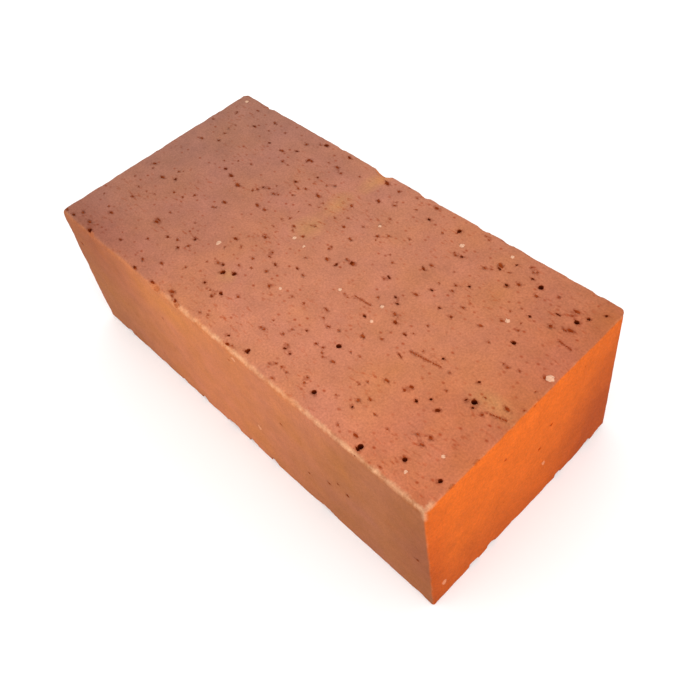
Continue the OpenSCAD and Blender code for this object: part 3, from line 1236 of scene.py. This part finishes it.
def pore_tree():
    """Lumps for all pores: the marked ones, and small ones scattered over all six faces."""
    tree, given, result, identifiers = new_tree("pore_lumps", PORE_SIZES)
    skin = add_node(tree, "GeometryNodeObjectInfo", {"Object": brick_piece}).outputs["Geometry"]
    normal = add_node(tree, "GeometryNodeInputNormal").outputs[0]
    upright = add_node(tree, "ShaderNodeSeparateXYZ", {0: normal}).outputs["Z"]
    flat = add_node(tree, "ShaderNodeMath", {0: upright}, operation="ABSOLUTE").outputs[0]
    per_area = add_node(
        tree,
        "ShaderNodeMapRange",
        {"Value": flat, 3: given["Side Pores per cm2"], 4: given["Bed Pores per cm2"]},
    ).outputs[0]
    density = add_node(tree, "ShaderNodeMath", {0: per_area, 1: CM2_PER_M2}, operation="MULTIPLY").outputs[0]
    scattered = add_node(
        tree,
        "GeometryNodeDistributePointsOnFaces",
        {"Mesh": skin, "Density": density, "Seed": PORE_SEED},
    )
    chance = add_node(
        tree, "FunctionNodeRandomValue", {2: 0.0, 3: 1.0, "Seed": PORE_SEED + 2}, data_type="FLOAT"
    ).outputs[1]
    rare = add_node(tree, "ShaderNodeMath", {0: chance, 1: RARITY}, operation="POWER").outputs[0]
    width = add_node(
        tree, "ShaderNodeMapRange", {"Value": rare, 3: given["Smallest"], 4: given["Largest"]}
    ).outputs[0]
    stretch = add_node(
        tree,
        "FunctionNodeRandomValue",
        {2: LEAST_STRETCH, 3: given["Stretch"], "Seed": PORE_SEED + 3},
        data_type="FLOAT",
    ).outputs[1]
    length = add_node(tree, "ShaderNodeMath", {0: width, 1: stretch}, operation="MULTIPLY").outputs[0]
    depth = add_node(
        tree, "ShaderNodeMath", {0: width, 1: given["Depth per Width"]}, operation="MULTIPLY"
    ).outputs[0]
    tall = add_node(tree, "ShaderNodeMath", {0: depth, 1: 2.0}, operation="MULTIPLY").outputs[0]
    span = add_node(tree, "ShaderNodeCombineXYZ", {0: length, 1: width, 2: tall}).outputs[0]
    round_span = add_node(tree, "ShaderNodeCombineXYZ", {0: width, 1: tall, 2: width}).outputs[0]
    facing = add_node(tree, "ShaderNodeSeparateXYZ", {0: scattered.outputs["Normal"]}).outputs["Z"]
    on_bed = add_node(
        tree,
        "FunctionNodeCompare",
        {0: facing, 1: 0.0, "Epsilon": BED_NORMAL},
        data_type="FLOAT",
        operation="NOT_EQUAL",
    ).outputs[0]
    chosen = add_node(
        tree, "GeometryNodeSwitch", {0: on_bed, 1: round_span, 2: span}, input_type="VECTOR"
    ).outputs[0]
    in_metres = add_node(
        tree, "ShaderNodeVectorMath", {0: chosen, "Scale": MM}, operation="SCALE"
    ).outputs[0]
    sized = add_node(
        tree,
        "GeometryNodeStoreNamedAttribute",
        {"Geometry": scattered.outputs["Points"], "Name": "size", "Value": in_metres},
        data_type="FLOAT_VECTOR",
        domain="POINT",
    ).outputs[0]
    lumps = add_node(tree, "GeometryNodeJoinGeometry")
    tree.links.new(put_lumps(tree, given[0], 3, PORE_SEED + 4, PORE_LEAN), lumps.inputs[0])
    tree.links.new(put_lumps(tree, sized, 2, PORE_SEED + 6, PORE_LEAN), lumps.inputs[0])
    united(tree, lumps.outputs[0], PORE_WALL, result)
    return tree, identifiers


run_tree(pore_tool, *pore_tree(), PORE_SIZES)
print("pore tool:", len(pore_tool.data.polygons), "faces")
pore_walls = surface(pore_tool, FRINGE_DRAG)
carve(brick_piece, pore_tool, "DIFFERENCE")

# %% [markdown]
# Handling knocks small flakes off the arrises. They follow the twelve edges of the block, so the tree walks
# along those edges, drops most steps at random, and leaves a lump at the rest. The upper front
# arris got most of the knocks, so fewer steps are dropped there. A few larger chips that the eye picks out
# are listed one by one, like the pores.

# %% Edges of the block
def block_edges():
    """The twelve sharp edges of the block, as a mesh without faces."""
    shape = bmesh.new()
    bmesh.ops.create_cube(shape, size=1.0)
    bmesh.ops.scale(shape, vec=Vector((LENGTH, WIDTH, HEIGHT)) * MM, verts=shape.verts)
    bmesh.ops.translate(shape, vec=MIDDLE * MM, verts=shape.verts)
    bmesh.ops.delete(shape, geom=shape.faces[:], context="FACES_ONLY")
    mesh = bpy.data.meshes.new("nick_tool")
    shape.to_mesh(mesh)
    shape.free()
    edges = bpy.data.objects.new("nick_tool", mesh)
    bpy.context.scene.collection.objects.link(edges)
    return edges


nick_tool = block_edges()
print("edges to walk along:", len(nick_tool.data.edges))

# %% Nicks along the arrises
NICK_SIZES = {
    "Step": 3.0,
    "Chance": 0.2,
    "Chance in Front": 0.26,
    "Shortest": 1.2,
    "Longest": 6.0,
    "Thinnest": 1.0,
    "Thickest": 2.2,
}
NICK_SEED = 29
FRONT_REACH = 5


def nick_tree():
    """Lumps along the block's edges, at random steps and with random sizes."""
    tree, given, result, identifiers = new_tree("arris_nicks", NICK_SIZES)
    apart = add_node(tree, "GeometryNodeSplitEdges", {0: given[0]}).outputs[0]
    curves = add_node(tree, "GeometryNodeMeshToCurve", {0: apart}).outputs[0]
    step = add_node(tree, "ShaderNodeMath", {0: given["Step"], 1: MM}, operation="MULTIPLY").outputs[0]
    walked = add_node(
        tree, "GeometryNodeCurveToPoints", {"Curve": curves, "Length": step}, mode="LENGTH"
    )
    place = add_node(tree, "GeometryNodeInputPosition").outputs[0]
    _, y, z = add_node(tree, "ShaderNodeSeparateXYZ", {0: place}).outputs
    in_front = add_node(
        tree, "ShaderNodeMath", {0: y, 1: (FRONT_REACH - HALF.y) * MM}, operation="LESS_THAN"
    ).outputs[0]
    on_top = add_node(
        tree, "ShaderNodeMath", {0: z, 1: HALF.z * MM}, operation="GREATER_THAN"
    ).outputs[0]
    busy = add_node(tree, "ShaderNodeMath", {0: in_front, 1: on_top}, operation="MULTIPLY").outputs[0]
    odds = add_node(
        tree, "ShaderNodeMapRange", {"Value": busy, 3: given["Chance"], 4: given["Chance in Front"]}
    ).outputs[0]
    kept = add_node(
        tree, "FunctionNodeRandomValue", {"Probability": odds, "Seed": NICK_SEED}, data_type="BOOLEAN"
    ).outputs[3]
    dropped = add_node(tree, "FunctionNodeBooleanMath", {0: kept}, operation="NOT").outputs[0]
    left = add_node(
        tree, "GeometryNodeDeleteGeometry", {0: walked.outputs["Points"], 1: dropped}, domain="POINT"
    ).outputs[0]
    ranges = (("Shortest", "Longest", 1), ("Thinnest", "Thickest", 2), ("Thinnest", "Thickest", 3))
    spans = [
        add_node(
            tree,
            "FunctionNodeRandomValue",
            {2: given[least], 3: given[most], "Seed": NICK_SEED + seed},
            data_type="FLOAT",
        ).outputs[1]
        for least, most, seed in ranges
    ]
    span = add_node(tree, "ShaderNodeCombineXYZ", {0: spans[0], 1: spans[1], 2: spans[2]}).outputs[0]
    in_metres = add_node(
        tree, "ShaderNodeVectorMath", {0: span, "Scale": MM}, operation="SCALE"
    ).outputs[0]
    along = add_node(
        tree, "FunctionNodeAlignRotationToVector", {"Vector": walked.outputs["Tangent"]}, axis="X"
    ).outputs[0]
    kind = add_node(
        tree, "FunctionNodeRandomValue", {4: 0, 5: LUMP_KINDS - 1, "Seed": NICK_SEED + 4}, data_type="INT"
    ).outputs[2]
    lumps = add_node(
        tree,
        "GeometryNodeInstanceOnPoints",
        {
            "Points": left,
            "Instance": lump_kit(tree, 2),
            "Pick Instance": True,
            "Instance Index": kind,
            "Rotation": along,
            "Scale": in_metres,
        },
    ).outputs[0]
    united(tree, lumps, BROKEN_FACE, result)
    return tree, identifiers


run_tree(nick_tool, *nick_tree(), NICK_SIZES)
print("nick tool:", len(nick_tool.data.polygons), "faces")
carve(brick_piece, nick_tool, "DIFFERENCE")

# %% Chips that stand out
# Each chip is its place on an arris, then its sizes along X, Y and Z.
CHIPS = (
    ((HALF.x, -32.5, 0), (6, 6, 5)),
    ((HALF.x, -22, 0), (6.5, 5, 5.5)),
    ((HALF.x, 21, 0), (6, 5, 5)),
    ((HALF.x, 41.5, 0), (6.5, 6, 5.5)),
    ((HALF.x, 51, 0), (6.5, 5.5, 6.5)),
    ((HALF.x, -30.5, HEIGHT), (1.6, 3, 1.4)),
    ((HALF.x, -43, HEIGHT), (1.6, 2.6, 1.4)),
    ((-96, -HALF.y, 0), (6.5, 6, 5)),
    ((-49, -HALF.y, 0), (5, 5.5, 4.5)),
    ((-32.5, -HALF.y, 0), (5, 5.5, 4.5)),
    ((-9.5, -HALF.y, 0), (8, 7, 6)),
    ((5, -HALF.y, 0), (7, 6.5, 5.5)),
    ((19, -HALF.y, 0), (5, 5, 4.5)),
    ((55, -HALF.y, 0), (7, 6.5, 5.5)),
    ((-39, -HALF.y, HEIGHT), (4, 2.6, 3)),
    ((-24, -HALF.y, HEIGHT), (3, 2.4, 2.4)),
    ((-16.5, HALF.y, HEIGHT), (4.5, 3, 3.4)),
    ((10, HALF.y, HEIGHT), (3.6, 2.6, 2.8)),
    ((-95, HALF.y, HEIGHT), (4, 2.8, 3)),
)
CHIP_SEED = 53


def lump_tree(name, material, seed):
    """A lump of one material on each marked place, as it lies."""
    tree, given, result, identifiers = new_tree(name, ())
    united(tree, put_lumps(tree, given[0], 3, seed, (0.0, 0.0)), material, result)
    return tree, identifiers


chip_tool = marked_places("chip_tool", [place for place, size in CHIPS], [size for place, size in CHIPS])
run_tree(chip_tool, *lump_tree("chip_lumps", BROKEN_FACE, CHIP_SEED), {})
carve(brick_piece, chip_tool, "DIFFERENCE")

# %% [markdown]
# Cream grit sits nearly flush in the faces. Discs of colour in the material would look the same from above,
# but a grain catches light at its rim, so flat lumps are united with the body.

# %% Pale grit
# Each grain of the upper bed is its place along X and Y, and its width.
BED_GRIT = (
    (-109, 52.5, 2), (-38.5, -22, 2.6), (-14.5, 1.5, 1.9), (-7.5, 0.5, 1.5), (3, -22, 1.7),
    (9, 30, 1.5), (22.5, -6.5, 1.7), (42, -2, 1.7), (44, -10, 1.6), (44, 43.5, 2.3),
    (64, 51.5, 1.7), (83.5, 24, 2.2), (99.5, -49.5, 1.5), (105, -36.5, 1.5), (112, 13, 3.2),
)
# On the front stretcher and the right end a grain is its place, then its sizes along X, Y and Z.
UPRIGHT_GRIT = (
    ((16, -HALF.y, 25), (2.6, 0.4, 3.6)),
    ((13, -HALF.y, 71), (3.2, 0.4, 2.4)),
    ((HALF.x, 9.5, 24.5), (0.4, 2.2, 3.6)),
    ((HALF.x, -50, 11.5), (0.4, 2.6, 4)),
)
GRIT_THICKNESS = 0.5
GRIT_SINK = 0.1
GRIT_SEED = 41

bed_places = [(x, y, HEIGHT) for x, y, width in BED_GRIT]
bed_spans = [(width, width, GRIT_THICKNESS) for x, y, width in BED_GRIT]
upright_places = [place for place, size in UPRIGHT_GRIT]
upright_spans = [size for place, size in UPRIGHT_GRIT]
for places, spans, finish in (
    (bed_places, bed_spans, PALE_GRIT),
    (upright_places, upright_spans, DUSTY_GRIT),
):
    grit_tool = marked_places("grit_tool", places, spans, GRIT_SINK)
    run_tree(grit_tool, *lump_tree("grit_lumps", finish, GRIT_SEED), {})
    carve(brick_piece, grit_tool, "UNION")

# %% [markdown]
# A Boolean can leave points that all but coincide, and faces with many corners. When such a face is cut into
# triangles later, two of them may lie back to back, as a stray flake without thickness. So the triangles are
# made here, with the doubled points merged first and the flakes dropped.

# %% Clean the triangles
def clean_triangles(piece):
    """Makes a piece's mesh plain triangles, without doubled points and without flakes."""
    shape = bmesh.new()
    shape.from_mesh(piece.data)
    bmesh.ops.remove_doubles(shape, verts=shape.verts, dist=SAME_POINT * MM)
    bmesh.ops.triangulate(shape, faces=shape.faces, ngon_method="EAR_CLIP")
    by_points = {}
    for face in shape.faces:
        by_points.setdefault(frozenset(face.verts), []).append(face)
    flakes = [face for faces in by_points.values() if len(faces) > 1 for face in faces]
    bmesh.ops.delete(shape, geom=flakes, context="FACES")
    shape.to_mesh(piece.data)
    shape.free()
    print("triangles:", len(piece.data.polygons), "after", len(flakes), "in flakes were dropped")


clean_triangles(brick_piece)

# %% [markdown]
# The finished mesh is shaded smooth on the faces and sharp where two faces meet at more than a small angle,
# so that the rims of pores and nicks stay crisp.
# Each point also keeps two distances that the materials read: how far it is from the nearest pore wall, for
# the stain around pores, and how deep it lies under the whole skin, for the painted shade inside them.
# They could be painted by hand, but measured they fit every pore.

# %% Finish the mesh
SHARP_ANGLE = math.radians(35)
FARTHEST = 4.0
mesh = brick_piece.data
mesh.shade_smooth()
mesh.set_sharp_from_angle(angle=SHARP_ANGLE)
for name, faces, squeeze in (("pore_gap", pore_walls, FRINGE_DRAG), ("skin_depth", whole_skin, 1.0)):
    measured = mesh.attributes.new(name, "FLOAT", "POINT")
    for vertex, item in zip(mesh.vertices, measured.data):
        place = Vector((vertex.co.x * squeeze, vertex.co.y, vertex.co.z))
        distance = faces.find_nearest(place, FARTHEST * MM)[3]
        item.value = FARTHEST if distance is None else distance / MM
shape = bmesh.new()
shape.from_mesh(mesh)
open_edges = sum(1 for edge in shape.edges if len(edge.link_faces) != 2)
triangles = sum(len(face.verts) - 2 for face in shape.faces)
volume = shape.calc_volume() / MM**3
shape.free()
print("brick:", triangles, "triangles,", open_edges, "open edges,", round(volume / 1000, 1), "cm3")

# %% [markdown]
# The stage is a pale floor in soft studio light: a wide key from the right, a weaker one from the front
# left, and an even white surround that fills the shadows.

# %% Stage
# The floor's half size and the lights' distance and size are in metres, and the powers are in watts.
FLOOR_REACH = 3.0
FLOOR_TOOTH = 60
FLOOR_ROUGHNESS = 0.95
LIGHT_DISTANCE = 3.0
LIGHT_SIZE = 2.0
KEY_POWER = 36.0
FILL_POWER = 7.0
# The compass angle and the height angle that each light comes from.
KEY_FROM = (math.radians(-20), math.radians(50))
FILL_FROM = (math.radians(-110), math.radians(40))


def pale_floor():
    """A wide matt sheet under the brick."""
    material = bpy.data.materials.new("pale_matt_sheet")
    material.use_nodes = True
    tree = material.node_tree
    tooth = add_node(
        tree, "ShaderNodeTexNoise", {"Vector": place_in_mm(tree), "Scale": 1 / FLOOR_TOOTH, "Detail": 2.0}
    ).outputs["Fac"]
    stops = ((0.0, "F9F9F8"), (1.0, "FBFBFB"))
    tone = add_node(tree, "ShaderNodeValToRGB", {"Fac": tooth}, stops).outputs["Color"]
    shader = tree.nodes["Principled BSDF"]
    tree.links.new(tone, shader.inputs["Base Color"])
    shader.inputs["Roughness"].default_value = FLOOR_ROUGHNESS
    shape = bmesh.new()
    bmesh.ops.create_grid(shape, x_segments=8, y_segments=8, size=FLOOR_REACH)
    mesh = bpy.data.meshes.new("floor")
    shape.to_mesh(mesh)
    shape.free()
    mesh.materials.append(material)
    floor = bpy.data.objects.new("floor", mesh)
    bpy.context.scene.collection.objects.link(floor)
    return floor


def soft_light(name, azimuth, elevation, power):
    """A square white area light that looks at the brick from a compass angle and a height angle."""
    data = bpy.data.lights.new(name, "AREA")
    data.size = LIGHT_SIZE
    data.energy = power
    light = bpy.data.objects.new(name, data)
    flat = math.cos(elevation)
    outward = Vector((flat * math.cos(azimuth), flat * math.sin(azimuth), math.sin(elevation)))
    turn = outward.to_track_quat("Z", "Y").to_matrix().to_4x4()
    light.matrix_world = Matrix.Translation(MIDDLE * MM + outward * LIGHT_DISTANCE) @ turn
    bpy.context.scene.collection.objects.link(light)


floor = pale_floor()
soft_light("key_light", *KEY_FROM, KEY_POWER)
soft_light("fill_light", *FILL_FROM, FILL_POWER)
world = bpy.data.worlds.new("studio")
world.use_nodes = True
world.node_tree.nodes["Background"].inputs["Color"].default_value = colour("FFFFFF")
world.node_tree.nodes["Background"].inputs["Strength"].default_value = 1.0
bpy.context.scene.world = world
bpy.context.scene.view_settings.view_transform = "Standard"
print("lights:", [item.name for item in bpy.data.lights])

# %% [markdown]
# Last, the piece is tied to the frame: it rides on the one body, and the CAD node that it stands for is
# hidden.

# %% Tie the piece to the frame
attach(brick_piece, "root")
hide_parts("brick")
